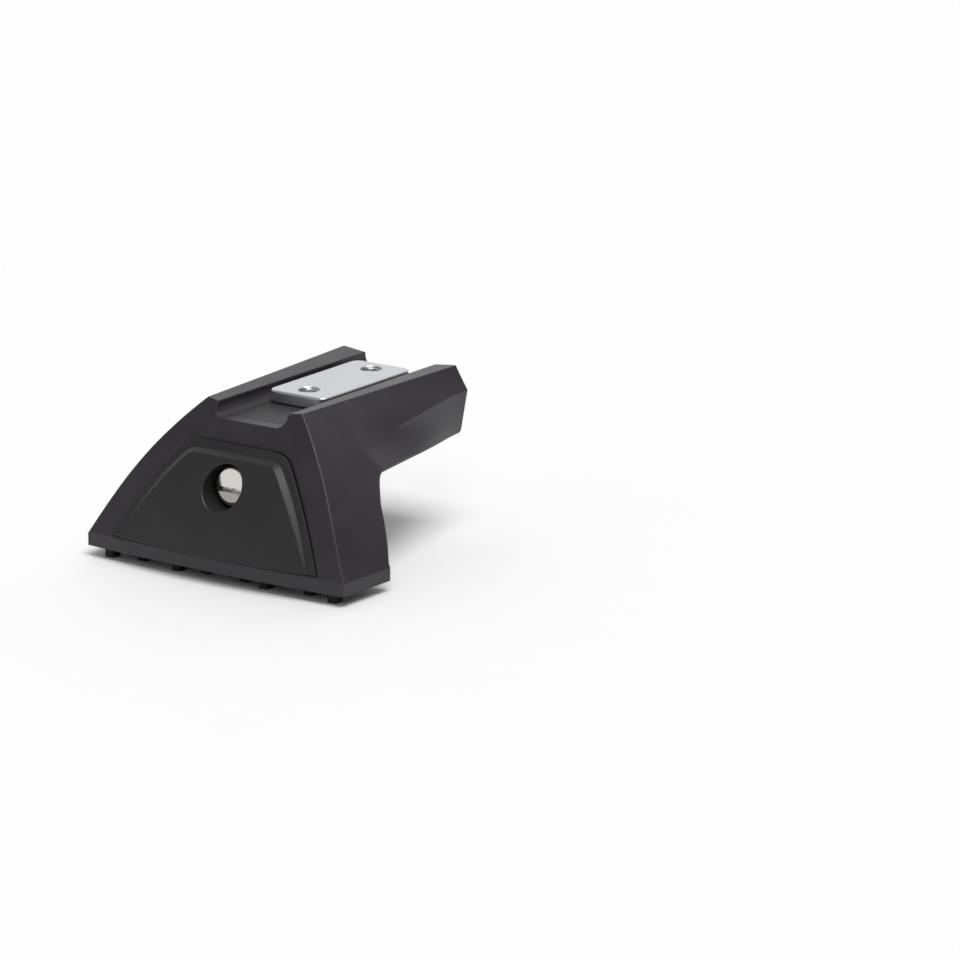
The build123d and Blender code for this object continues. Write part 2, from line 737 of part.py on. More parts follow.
# Key plug: rounded head with its lower half cut back to the keyway, body and square tail
with BuildPart() as lock_plug:
    with BuildSketch(lock_plane.offset(-lock_recess)):
        Circle(plug_head_diameter / 2)
    extrude(amount=-plug_head_length)
    rim = lock_plug.edges().filter_by(GeomType.CIRCLE).sort_by(Axis.Y)[0]
    fillet(rim, plug_head_round)
    with BuildSketch(lock_plane.offset(-lock_recess)):
        with Locations((0, -plug_head_diameter / 2 - plug_step_drop)):
            Rectangle(plug_head_diameter, plug_head_diameter)
    extrude(amount=-plug_step_depth, mode=Mode.SUBTRACT)
    with BuildSketch(lock_plane.offset(-lock_recess - plug_head_length)):
        Circle(plug_diameter / 2)
    extrude(amount=plug_head_length - plug_length)
    with BuildSketch(lock_plane.offset(-cam_depth)):
        Rectangle(tail_square, tail_square)
    extrude(amount=tail_relief - cam_thickness)
    with BuildSketch(lock_plane.offset(-lock_recess)):
        with Locations((0, -plug_step_drop - keyway_height / 2)):
            Rectangle(keyway_width, keyway_height)
    extrude(amount=-keyway_depth, mode=Mode.SUBTRACT)
    with BuildSketch(lock_plane.offset(-cam_depth - cam_thickness)):
        Circle(cam_screw_diameter / 2 + thread_gap)
    extrude(amount=cam_screw_length + tail_relief, mode=Mode.SUBTRACT)
lock_plug.part.label = "lock_plug"
export_step(lock_plug.part, "parts/lock_plug.step")

# Cam on the plug's tail, drawn in the open position
with BuildPart() as lock_cam:
    with BuildSketch(lock_plane.offset(-cam_depth)) as cam_shape:
        Circle(cam_hub / 2)
        with Locations((cam_length / 2, 0)):
            Rectangle(cam_length, cam_width)
        fillet(cam_shape.vertices().group_by(Axis.X)[-1], cam_tip_round)
        Rectangle(tail_square + 2 * tail_gap, tail_square + 2 * tail_gap, mode=Mode.SUBTRACT)
    extrude(amount=-cam_thickness)
lock_cam.part.label = "lock_cam"
export_step(lock_cam.part, "parts/lock_cam.step")

# Screw that keeps the cam on
with BuildPart() as cam_screw:
    with BuildSketch(lock_plane.offset(-cam_depth - cam_thickness)):
        Circle(cam_head_diameter / 2)
    extrude(amount=-cam_head_height)
    with BuildSketch(lock_plane.offset(-cam_depth - cam_thickness)):
        Circle(cam_screw_diameter / 2)
    extrude(amount=cam_screw_length)
    with BuildSketch(lock_plane.offset(-cam_depth - cam_thickness - cam_head_height)):
        Rectangle(cam_head_diameter, cam_head_slot)
    extrude(amount=cam_head_height / 2, mode=Mode.SUBTRACT)
cam_screw.part.label = "cam_screw"
export_step(cam_screw.part, "parts/cam_screw.step")

# Rubber pad with lugs that stand on the roof
with BuildPart() as base_pad:
    with BuildSketch(Plane.XY.offset(base_z)):
        with Locations((0, pad_y)):
            RectangleRounded(pad_width, pad_depth, pad_corner)
    extrude(amount=pad_thickness)
    front_lug_y = front_y + front_lug_setback + lug_depth / 2
    back_lug_y = front_y + back_lug_setback + lug_depth / 2
    lug_rows = (
        (front_lug_places, front_lug_y),
        (back_lug_places, back_lug_y),
        (back_lug_places, 2 * pad_y - back_lug_y),
        (rear_lug_places, 2 * pad_y - front_lug_y),
    )
    for places, y in lug_rows:
        for x in places:
            with BuildSketch(Plane.XY.offset(base_z)):
                with Locations((x, y), (-x, y)):
                    RectangleRounded(lug_width, lug_depth, lug_round)
            extrude(amount=-lug_height)
    with BuildSketch(Plane.XY.offset(base_z)):
        with Locations(*((x, 0) for _, x in fixing_places)):
            Circle(fixing_hole / 2)
    extrude(amount=pad_thickness, mode=Mode.SUBTRACT)
base_pad.part.label = "base_pad"
export_step(base_pad.part, "parts/base_pad.step")

# Bushes for the fixing bolts in the leg's floor
for side, x in fixing_places:
    with BuildPart() as base_bush:
        with BuildSketch(Plane((x, 0, pad_z))):
            Circle(fixing_bush_diameter / 2)
            Circle(fixing_hole / 2, mode=Mode.SUBTRACT)
        extrude(amount=floor_z - pad_z)
    base_bush.part.label = "base_bush_" + side
    export_step(base_bush.part, "parts/base_bush_" + side + ".step")

# Plate that spreads the fixing bolts' load over the leg's floor
with BuildPart() as spreader_plate:
    with BuildSketch(Plane.XY.offset(floor_z)):
        RectangleRounded(spreader_width, spreader_depth, spreader_corner)
        with Locations(*((x, 0) for _, x in fixing_places)):
            Circle(fixing_hole / 2, mode=Mode.SUBTRACT)
    extrude(amount=spreader_thickness)
spreader_plate.part.label = "spreader_plate"
export_step(spreader_plate.part, "parts/spreader_plate.step")
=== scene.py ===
import json
import math

import bmesh
import bpy
from mathutils import Matrix, Vector


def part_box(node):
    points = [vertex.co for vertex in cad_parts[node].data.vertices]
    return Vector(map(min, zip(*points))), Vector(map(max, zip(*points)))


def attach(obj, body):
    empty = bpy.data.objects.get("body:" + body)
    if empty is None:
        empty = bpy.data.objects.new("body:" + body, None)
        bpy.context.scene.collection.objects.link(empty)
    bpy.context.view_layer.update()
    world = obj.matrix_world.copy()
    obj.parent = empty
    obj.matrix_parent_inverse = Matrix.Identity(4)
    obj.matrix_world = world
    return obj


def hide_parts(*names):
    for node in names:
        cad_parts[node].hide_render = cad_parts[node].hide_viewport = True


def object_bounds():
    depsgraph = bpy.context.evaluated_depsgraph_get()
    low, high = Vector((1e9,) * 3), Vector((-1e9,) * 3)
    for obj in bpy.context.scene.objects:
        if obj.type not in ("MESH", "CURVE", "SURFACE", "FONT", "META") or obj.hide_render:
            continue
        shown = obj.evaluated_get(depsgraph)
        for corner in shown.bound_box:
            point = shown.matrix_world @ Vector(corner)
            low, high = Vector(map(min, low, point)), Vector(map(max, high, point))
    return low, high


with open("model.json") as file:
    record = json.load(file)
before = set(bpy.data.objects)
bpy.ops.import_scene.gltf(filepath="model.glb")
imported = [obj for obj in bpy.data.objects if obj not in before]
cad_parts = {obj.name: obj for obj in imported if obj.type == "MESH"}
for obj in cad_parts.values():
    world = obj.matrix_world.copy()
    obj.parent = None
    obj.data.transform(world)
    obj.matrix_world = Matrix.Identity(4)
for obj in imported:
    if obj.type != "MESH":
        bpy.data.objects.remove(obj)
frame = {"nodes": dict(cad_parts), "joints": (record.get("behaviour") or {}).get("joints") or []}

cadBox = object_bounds()
nodeObjects = frame["nodes"]
clampEnds = ("front", "rear")
mergeDistance = 0.000001
print("frame loaded:", len(nodeObjects), "CAD pieces")

# The lock's axis points out of the cover
lockJoint = next(joint for joint in frame["joints"] if joint["name"] == "lock_turn")
lockPoint = Vector(lockJoint["pos_m"])
lockAxis = Vector(lockJoint["axis"])
lockTilt = math.atan2(lockAxis.z, -lockAxis.y)


# Small helpers for shader trees. A Mix node's sockets share their names, so they are picked by number
mixColour = {"a": 6, "b": 7, "result": 2}
mixNumber = {"a": 2, "b": 3, "result": 0}


def addNode(tree, kind, place, **settings):
    node = tree.nodes.new(kind)
    node.location = place
    for name, value in settings.items():
        setattr(node, name, value)
    return node


def setInputs(node, values):
    for name, value in values.items():
        node.inputs[name].default_value = value
    return node


def newGroup(name, inputs, outputs):
    group = bpy.data.node_groups.new(name, "ShaderNodeTree")
    for label, kind, value in inputs:
        group.interface.new_socket(label, in_out="INPUT", socket_type=kind).default_value = value
    for label, kind in outputs:
        group.interface.new_socket(label, in_out="OUTPUT", socket_type=kind)
    entry = addNode(group, "NodeGroupInput", (-900, 0))
    result = addNode(group, "NodeGroupOutput", (700, 0))
    return group, entry, result


def placeGroup(tree, group, place, values):
    node = addNode(tree, "ShaderNodeGroup", place, node_tree=group)
    return setInputs(node, values)


# Spark-eroded grain of a moulded surface: a fine height and a broad, soft mottle
grainSetup = {
    "inputs": [("Scale", "NodeSocketFloat", 2500.0), ("Mottle Scale", "NodeSocketFloat", 90.0)],
    "outputs": [("Height", "NodeSocketFloat"), ("Mottle", "NodeSocketFloat")],
    "fine": {"Detail": 3.0, "Roughness": 0.6},
    "broad": {"Detail": 5.0, "Roughness": 0.55},
    "pitShare": 0.6,
    "spread": {"From Min": 0.32, "From Max": 0.68},
}


def makeMouldGrain(setup):
    group, entry, result = newGroup("mouldGrain", setup["inputs"], setup["outputs"])
    coords = addNode(group, "ShaderNodeTexCoord", (-900, -250))
    fine = setInputs(addNode(group, "ShaderNodeTexNoise", (-500, 150)), setup["fine"])
    pits = addNode(group, "ShaderNodeTexVoronoi", (-500, -100), feature="SMOOTH_F1")
    blend = addNode(group, "ShaderNodeMath", (-150, 50), operation="MULTIPLY_ADD")
    blend.inputs[1].default_value = setup["pitShare"]
    broad = setInputs(addNode(group, "ShaderNodeTexNoise", (-500, -400)), setup["broad"])
    spread = addNode(group, "ShaderNodeMapRange", (-150, -350), interpolation_type="SMOOTHSTEP")
    setInputs(spread, setup["spread"])
    for texture in (fine, pits, broad):
        group.links.new(coords.outputs["Object"], texture.inputs["Vector"])
    group.links.new(entry.outputs["Scale"], fine.inputs["Scale"])
    group.links.new(entry.outputs["Scale"], pits.inputs["Scale"])
    group.links.new(entry.outputs["Mottle Scale"], broad.inputs["Scale"])
    group.links.new(pits.outputs["Distance"], blend.inputs[0])
    group.links.new(fine.outputs["Fac"], blend.inputs[2])
    group.links.new(broad.outputs["Fac"], spread.inputs["Value"])
    group.links.new(blend.outputs["Value"], result.inputs["Height"])
    group.links.new(spread.outputs["Result"], result.inputs["Mottle"])
    return group


# Where an edge is rubbed, and where a painted highlight runs along it: the difference between the true
# normal and a rounded one, broken up by noise
edgeWearAndHighlightSetup = {
    "inputs": [("Radius", "NodeSocketFloat", 0.0006), ("Breakup", "NodeSocketFloat", 400.0)],
    "outputs": [("Mask", "NodeSocketFloat"), ("Rounded", "NodeSocketVector")],
    "samples": 6,
    "bend": {"From Min": 0.995, "From Max": 0.86},  # cosine of the angle between the two normals
    "noise": {"Detail": 4.0},
    "patches": {"From Min": 0.4, "From Max": 0.62},
}


def makeEdgeWearAndHighlight(setup):
    group, entry, result = newGroup("edgeWearAndHighlight", setup["inputs"], setup["outputs"])
    coords = addNode(group, "ShaderNodeTexCoord", (-900, -250))
    rounded = addNode(group, "ShaderNodeBevel", (-600, 150), samples=setup["samples"])
    geometry = addNode(group, "ShaderNodeNewGeometry", (-600, -50))
    dot = addNode(group, "ShaderNodeVectorMath", (-350, 100), operation="DOT_PRODUCT")
    lift = addNode(group, "ShaderNodeMapRange", (-100, 100), interpolation_type="SMOOTHSTEP")
    setInputs(lift, setup["bend"])
    noise = setInputs(addNode(group, "ShaderNodeTexNoise", (-350, -250)), setup["noise"])
    patches = setInputs(addNode(group, "ShaderNodeMapRange", (-100, -250)), setup["patches"])
    both = addNode(group, "ShaderNodeMath", (250, 0), operation="MULTIPLY")
    group.links.new(entry.outputs["Radius"], rounded.inputs["Radius"])
    group.links.new(entry.outputs["Breakup"], noise.inputs["Scale"])
    group.links.new(coords.outputs["Object"], noise.inputs["Vector"])
    group.links.new(rounded.outputs["Normal"], dot.inputs[0])
    group.links.new(geometry.outputs["Normal"], dot.inputs[1])
    group.links.new(dot.outputs["Value"], lift.inputs["Value"])
    group.links.new(noise.outputs["Fac"], patches.inputs["Value"])
    group.links.new(lift.outputs["Result"], both.inputs[0])
    group.links.new(patches.outputs["Result"], both.inputs[1])
    group.links.new(both.outputs["Value"], result.inputs["Mask"])
    group.links.new(rounded.outputs["Normal"], result.inputs["Rounded"])
    return group


mouldGrain = makeMouldGrain(grainSetup)
edgeWearAndHighlight = makeEdgeWearAndHighlight(edgeWearAndHighlightSetup)
print("shader groups made")


# A material starts as a Principled shader with its plain values set on its own sockets
def startMaterial(name, plain):
    material = bpy.data.materials.new(name)
    material.use_nodes = True
    tree = material.node_tree
    tree.nodes.clear()
    shader = setInputs(addNode(tree, "ShaderNodeBsdfPrincipled", (500, 0)), plain)
    output = addNode(tree, "ShaderNodeOutputMaterial", (800, 0))
    tree.links.new(shader.outputs["BSDF"], output.inputs["Surface"])
    return material, tree, shader


def addColourMix(tree, factor, colourA, colourB, place):
    mix = addNode(tree, "ShaderNodeMix", place, data_type="RGBA")
    mix.inputs[mixColour["a"]].default_value = (*colourA, 1.0)
    mix.inputs[mixColour["b"]].default_value = (*colourB, 1.0)
    tree.links.new(factor, mix.inputs["Factor"])
    return mix


def addRange(tree, value, low, high, place):
    spread = setInputs(addNode(tree, "ShaderNodeMapRange", place), {"To Min": low, "To Max": high})
    tree.links.new(value, spread.inputs["Value"])
    return spread


def addBump(tree, height, rounded, look, place):
    depth = {"Strength": look["bump"], "Distance": look["bumpDepth"]}
    bump = setInputs(addNode(tree, "ShaderNodeBump", place), depth)
    tree.links.new(height, bump.inputs["Height"])
    tree.links.new(rounded, bump.inputs["Normal"])
    return bump


# Moulded plastic and rubber differ only in their values
def makeMoulded(name, look):
    material, tree, shader = startMaterial(name, look["plain"])
    grain = placeGroup(tree, mouldGrain, (-700, 0), look["grain"])
    wearAndHighlight = placeGroup(tree, edgeWearAndHighlight, (-700, -300), look["wearAndHighlight"])
    base = addColourMix(tree, grain.outputs["Mottle"], look["dark"], look["light"], (-400, 200))
    # Edges take a lighter colour: partly rubbed wear, partly painted highlight
    wornAndHighlit = addColourMix(tree, wearAndHighlight.outputs["Mask"], look["dark"], look["wornAndHighlit"], (-100, 200))
    tree.links.new(base.outputs[mixColour["result"]], wornAndHighlit.inputs[mixColour["a"]])
    rough = addRange(tree, grain.outputs["Mottle"], *look["roughness"], (-400, -100))
    bump = addBump(tree, grain.outputs["Height"], wearAndHighlight.outputs["Rounded"], look, (-100, -200))
    tree.links.new(wornAndHighlit.outputs[mixColour["result"]], shader.inputs["Base Color"])
    tree.links.new(rough.outputs["Result"], shader.inputs["Roughness"])
    tree.links.new(bump.outputs["Normal"], shader.inputs["Normal"])
    return material


# In each look the edge colour is partly rubbed wear and partly painted highlight
bodyLook = {
    "plain": {"Specular IOR Level": 0.42},
    "dark": (0.0243, 0.0212, 0.0262),
    "light": (0.0297, 0.0262, 0.0318),
    "wornAndHighlit": (0.05, 0.05, 0.052),
    "roughness": (0.40, 0.46),
    "grain": {"Scale": 2600.0, "Mottle Scale": 70.0},
    "wearAndHighlight": {"Radius": 0.0005, "Breakup": 300.0},
    "bump": 0.22,
    "bumpDepth": 0.00008,
}
coverLook = {
    "plain": {"Specular IOR Level": 0.45},
    "dark": (0.0175, 0.0160, 0.0170),
    "light": (0.0215, 0.0195, 0.0205),
    "wornAndHighlit": (0.05, 0.048, 0.05),
    "roughness": (0.36, 0.42),
    "grain": {"Scale": 3000.0, "Mottle Scale": 60.0},
    "wearAndHighlight": {"Radius": 0.0004, "Breakup": 300.0},
    "bump": 0.18,
    "bumpDepth": 0.00007,
}
linerLook = {
    "plain": {"Specular IOR Level": 0.4},
    "dark": (0.022, 0.022, 0.0245),
    "light": (0.027, 0.027, 0.030),
    "wornAndHighlit": (0.07, 0.07, 0.075),
    "roughness": (0.5, 0.6),
    "grain": {"Scale": 1800.0, "Mottle Scale": 110.0},
    "wearAndHighlight": {"Radius": 0.0004, "Breakup": 350.0},
    "bump": 0.3,
    "bumpDepth": 0.0001,
}
padLook = {
    "plain": {"Specular IOR Level": 0.35},
    "dark": (0.009, 0.009, 0.0095),
    "light": (0.014, 0.014, 0.0145),
    "wornAndHighlit": (0.03, 0.03, 0.031),
    "roughness": (0.6, 0.75),
    "grain": {"Scale": 1500.0, "Mottle Scale": 150.0},
    "wearAndHighlight": {"Radius": 0.0004, "Breakup": 350.0},
    "bump": 0.35,
    "bumpDepth": 0.00012,
}


# Plated metal: cloudy plating with fine lines along one direction
def makePlated(name, look):
    material, tree, shader = startMaterial(name, look["plain"])
    coords = addNode(tree, "ShaderNodeTexCoord", (-1100, 0))
    stretch = addNode(tree, "ShaderNodeMapping", (-900, -150))
    stretch.inputs["Scale"].default_value = look["lineStretch"]
    clouds = setInputs(addNode(tree, "ShaderNodeTexNoise", (-650, 200)), look["clouds"])
    lines = setInputs(addNode(tree, "ShaderNodeTexNoise", (-650, -150)), look["lines"])
    wearAndHighlight = placeGroup(tree, edgeWearAndHighlight, (-650, -450), look["wearAndHighlight"])
    tree.links.new(coords.outputs["Object"], clouds.inputs["Vector"])
    tree.links.new(coords.outputs["Object"], stretch.inputs["Vector"])
    tree.links.new(stretch.outputs["Vector"], lines.inputs["Vector"])
    base = addColourMix(tree, clouds.outputs["Fac"], look["dark"], look["light"], (-350, 200))
    # Edges take a lighter colour: partly rubbed wear, partly painted highlight
    wornAndHighlit = addColourMix(tree, wearAndHighlight.outputs["Mask"], look["dark"], look["wornAndHighlit"], (-50, 200))
    tree.links.new(base.outputs[mixColour["result"]], wornAndHighlit.inputs[mixColour["a"]])
    mixed = addNode(tree, "ShaderNodeMath", (-350, -50), operation="MULTIPLY_ADD")
    mixed.inputs[1].default_value = look["lineShare"]
    tree.links.new(lines.outputs["Fac"], mixed.inputs[0])
    tree.links.new(clouds.outputs["Fac"], mixed.inputs[2])
    rough = addRange(tree, mixed.outputs["Value"], *look["roughness"], (-50, -50))
    bump = addBump(tree, lines.outputs["Fac"], wearAndHighlight.outputs["Rounded"], look, (-50, -300))
    tree.links.new(wornAndHighlit.outputs[mixColour["result"]], shader.inputs["Base Color"])
    tree.links.new(rough.outputs["Result"], shader.inputs["Roughness"])
    tree.links.new(bump.outputs["Normal"], shader.inputs["Normal"])
    return material


zincLook = {
    "plain": {"Metallic": 1.0},
    "dark": (0.56, 0.58, 0.60),
    "light": (0.66, 0.68, 0.71),
    "wornAndHighlit": (0.80, 0.81, 0.82),
    "roughness": (0.26, 0.40),
    "clouds": {"Scale": 160.0, "Detail": 5.0, "Roughness": 0.6},
    "lines": {"Scale": 900.0, "Detail": 3.0},
    "lineStretch": (1.0, 0.05, 1.0),
    "lineShare": 0.4,
    "wearAndHighlight": {"Radius": 0.0005, "Breakup": 350.0},
    "bump": 0.10,
    "bumpDepth": 0.00005,
}
lockLook = {
    "plain": {"Metallic": 1.0},
    "dark": (0.62, 0.60, 0.57),
    "light": (0.72, 0.70, 0.67),
    "wornAndHighlit": (0.86, 0.85, 0.83),
    "roughness": (0.08, 0.16),
    "clouds": {"Scale": 260.0, "Detail": 4.0, "Roughness": 0.6},
    "lines": {"Scale": 1500.0, "Detail": 2.0},
    "lineStretch": (0.08, 1.0, 1.0),
    "lineShare": 0.3,
    "wearAndHighlight": {"Radius": 0.0003, "Breakup": 500.0},
    "bump": 0.06,
    "bumpDepth": 0.00004,
}

# The lock's sleeve is coloured near black: painted shade for the dark round the plug in its hole
shadedSleeveLook = {
    **lockLook,
    "dark": (0.015, 0.015, 0.016),
    "light": (0.022, 0.022, 0.023),
    "wornAndHighlit": (0.05, 0.05, 0.052),
    "roughness": (0.45, 0.55),
}

# The wall of the lock's hole is coloured near black as painted shade, and has the dull finish of the pin
# that cored it
boreShadeLook = {
    "across": (1, 0, 1),  # what is left of a point when its depth is dropped
    "radius": 0.00868,
    # the change runs from the plain plastic to the painted shade and rougher finish
    "soft": 0.00006,  # width of the change from one finish to the other
    # painted shade in the hole
    "colour": (0.006, 0.0058, 0.006),
    "roughness": 0.75,
}


def addBoreShadeAndFinish(material, look):
    tree = material.node_tree
    shader = next(node for node in tree.nodes if node.type == "BSDF_PRINCIPLED")
    coords = addNode(tree, "ShaderNodeTexCoord", (-700, 500))
    place = addNode(tree, "ShaderNodeMapping", (-500, 500), vector_type="TEXTURE")
    setInputs(place, {"Location": lockPoint, "Rotation": (-lockTilt, 0, 0)})
    across = addNode(tree, "ShaderNodeVectorMath", (-300, 500), operation="MULTIPLY")
    across.inputs[1].default_value = look["across"]
    away = addNode(tree, "ShaderNodeVectorMath", (-100, 500), operation="LENGTH")
    inside = addNode(tree, "ShaderNodeMapRange", (100, 500))
    setInputs(inside, {"From Min": look["radius"] + look["soft"], "From Max": look["radius"]})
    tree.links.new(coords.outputs["Object"], place.inputs["Vector"])
    tree.links.new(place.outputs["Vector"], across.inputs[0])
    tree.links.new(across.outputs["Vector"], away.inputs[0])
    tree.links.new(away.outputs["Value"], inside.inputs["Value"])
    # Painted shade: inside the hole the base colour turns near black
    colour = addColourMix(tree, inside.outputs["Result"], look["colour"], look["colour"], (300, 300))
    rough = addNode(tree, "ShaderNodeMix", (300, -100), data_type="FLOAT")
    rough.inputs[mixNumber["b"]].default_value = look["roughness"]
    tree.links.new(inside.outputs["Result"], rough.inputs["Factor"])
    for mix, sockets, name in ((colour, mixColour, "Base Color"), (rough, mixNumber, "Roughness")):
        tree.links.new(shader.inputs[name].links[0].from_socket, mix.inputs[sockets["a"]])
        tree.links.new(mix.outputs[sockets["result"]], shader.inputs[name])


materials = {
    "body_plastic": makeMoulded("bodyPlastic", bodyLook),
    "cover_plastic": makeMoulded("coverPlastic", coverLook),
    "liner_rubber": makeMoulded("linerRubber", linerLook),
    "pad_rubber": makeMoulded("padRubber", padLook),
    "zinc_steel": makePlated("zincSteel", zincLook),
    "lock_metal": makePlated("lockMetal", lockLook),
    "shaded_sleeve": makePlated("shadedSleeve", shadedSleeveLook),
}
addBoreShadeAndFinish(materials["cover_plastic"], boreShadeLook)
pieceFinishes = {
    "leg_body": "body_plastic",
    "front_cover": "cover_plastic",
    "seat_liner": "liner_rubber",
    "base_pad": "pad_rubber",
    "lock_plug": "lock_metal",
    # painted shade: the sleeve takes a near-black colour
    "lock_sleeve": "shaded_sleeve",
}
otherFinish = "zinc_steel"
for name, piece in nodeObjects.items():
    finish = materials[pieceFinishes.get(name, otherFinish)]
    piece.data.materials.clear()
    piece.data.materials.append(finish)
print("finishes given to", len(nodeObjects), "pieces")


def addObject(name, data):
    added = bpy.data.objects.new(name, data)
    bpy.context.collection.objects.link(added)
    return added


def meshData(name, mesh):
    data = bpy.data.meshes.new(name)
    mesh.to_mesh(data)
    mesh.free()
    return data


# A finished piece sits at the origin, rides on its body and takes the finish of its slot
def finishPiece(name, mesh, body, slot, sharpAngle):
    bmesh.ops.remove_doubles(mesh, verts=mesh.verts, dist=mergeDistance)
    bmesh.ops.recalc_face_normals(mesh, faces=mesh.faces)
    data = meshData(name, mesh)
    data.shade_smooth()
    data.set_sharp_from_angle(angle=math.radians(sharpAngle))
    data.materials.append(materials[slot])
    piece = addObject(name, data)
    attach(piece, body)
    return piece


# A profile of (radius, height) points turned once round an upright axis
def turnProfile(mesh, profile, centre, steps):
    points = [mesh.verts.new((centre.x + radius, centre.y, height)) for radius, height in profile]
    lines = [mesh.edges.new(ends) for ends in zip(points, points[1:])]
    bmesh.ops.spin(
        mesh, geom=points + lines, cent=centre, axis=(0, 0, 1), angle=math.tau, steps=steps, use_merge=True
    )
    bmesh.ops.remove_doubles(mesh, verts=mesh.verts, dist=mergeDistance)


# A thread ridge: its section carried up a helix, closed at both ends
def turnThread(mesh, root, crest, foot, top, centre, thread):
    halfRoot = thread["pitch"] * thread["rootShare"] / 2
    halfCrest = thread["pitch"] * thread["crestShare"] / 2
    start = foot + halfRoot
    section = ((root, -halfRoot), (crest, -halfCrest), (crest, halfCrest), (root, halfRoot))
    points = [mesh.verts.new((centre.x + radius, centre.y, start + rise)) for radius, rise in section]
    steps = int(thread["stepsPerTurn"] * (top - foot - 2 * halfRoot) / thread["pitch"])
    lift = Vector((0, 0, thread["pitch"] / thread["stepsPerTurn"]))
    angle = math.tau * steps / thread["stepsPerTurn"]
    bmesh.ops.spin(
        mesh, geom=[mesh.faces.new(points)], cent=centre, axis=(0, 0, 1), dvec=lift, angle=angle, steps=steps
    )


# The leg's moulding: the edge under its arm is drawn straight from a raised knee to the tip
legSetup = {
    "knee": 0.0238,  # along the bar, where the arm starts
    "tip": 0.1010,  # and where it ends
    "heelZ": 0.0240,  # the knee moves above this height
    "underZ": 0.0325,  # the arm's lower edge
    "ridgeZ": 0.0440,  # the ridge along its side
    "fadeZ": 0.0520,  # the sideways move ends at this height
    "wave": (0.00125, 0.00075),  # sideways, at the edge and at the ridge
    "belly": (0.0, 0.0012),  # the same, for one long bow
    "inner": (0.018, 0.024),  # nearer the middle nothing moves sideways
    "softStart": 0.12,  # share of the arm over which the sideways move sets in
    "lift": 0.0020,  # of the knee
    "lean": (0.75, -0.18),  # slope of the side at the knee and at the tip
    "back": 0.0040,  # of the knee, towards the tip
    "backReach": 0.5,  # share of the arm over which that dies away
    "blend": 0.0140,  # length of leg ahead of the knee that moves with it
    "normalStep": 0.00001,  # distance over which the turn of the surface is measured
    "sharpAngle": 28.0,
}


def ease(value, start, stop):
    share = min(max((value - start) / (stop - start), 0.0), 1.0)
    return share * share * (3 - 2 * share)


def between(pair, share):
    return pair[0] + (pair[1] - pair[0]) * share


# How far a point of the moulding moves
def armShift(point, setup):
    x, y, z = point
    along = min(max((y - setup["knee"]) / (setup["tip"] - setup["knee"]), 0.0), 1.0)
    level = ease(z, setup["underZ"], setup["ridgeZ"])
    outer = math.copysign(ease(abs(x), *setup["inner"]), x)
    wave = between(setup["wave"], level) * math.sin(math.tau * along)
    belly = between(setup["belly"], level) * math.sin(math.pi * along)
    fade = (1.0 - ease(z, setup["ridgeZ"], setup["fadeZ"])) * ease(along, 0.0, setup["softStart"])
    low = ease(z, setup["heelZ"], setup["underZ"]) * (1.0 - level)
    near = ease(y, setup["knee"] - setup["blend"], setup["knee"])
    lift = setup["lift"] * low * near * (1.0 - along)
    back = setup["back"] * low * near * (1.0 - ease(along, 0.0, setup["backReach"]))
    inward = outer * ((wave + belly) * fade + between(setup["lean"], along) * lift)
    return Vector((-inward, back, lift))


# The moulding's own normals, turned with the surface round a moved point
def turnNormal(normal, point, setup):
    step = setup["normalStep"]
    here = armShift(point, setup)
    if here.length < mergeDistance:
        return normal
    columns = []
    for axis in (Vector((step, 0, 0)), Vector((0, step, 0)), Vector((0, 0, step))):
        columns.append((axis + armShift(point + axis, setup) - here) / step)
    return (Matrix(columns).inverted() @ normal).normalized()


# A merged copy of the leg keeps the solid's corner normals, because its triangles are long and thin
def makeLeg(setup):
    source = nodeObjects["leg_body"].data.copy()
    kept = source.attributes.new("keptNormal", "FLOAT_VECTOR", "CORNER")
    for corner, spot in zip(source.corner_normals, kept.data):
        spot.vector = corner.vector
    mesh = bmesh.new()
    mesh.from_mesh(source)
    bpy.data.meshes.remove(source)
    bmesh.ops.remove_doubles(mesh, verts=mesh.verts, dist=mergeDistance)
    layer = mesh.loops.layers.float_vector["keptNormal"]
    for face in mesh.faces:
        for loop in face.loops:
            loop[layer] = turnNormal(loop[layer], loop.vert.co, setup)
    for vert in mesh.verts:
        vert.co += armShift(vert.co, setup)
    piece = finishPiece("legMoulding", mesh, "leg", "body_plastic", setup["sharpAngle"])
    data = piece.data
    data.normals_split_custom_set([spot.vector for spot in data.attributes["keptNormal"].data])
    data.attributes.remove(data.attributes["keptNormal"])
    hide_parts("leg_body")


makeLeg(legSetup)
print("leg made")


threadSetup = {"pitch": 0.00125, "rootShare": 0.86, "crestShare": 0.14, "stepsPerTurn": 40}
screwSetup = {
    "steps": 72,
    "headHeight": 0.005,
    "headChamfer": 0.0006,
    "shoulderChamfer": 0.0002,
    "neckRadius": 0.0042,
    "neckRise": 0.0004,
    "coreRadius": 0.0034,
    "crestRadius": 0.00398,
    "tipChamfer": 0.0008,
    "knurlGap": 0.00010,
    "knurlDepth": 0.00010,
    "threadSink": 0.00005,  # how far the thread's foot is sunk into the core
    "socketSides": 6,
    "socketAcross": 0.005,
    "socketDepth": 0.0028,
    "socketMouth": 0.0003,
    "sharpAngle": 32.0,
}


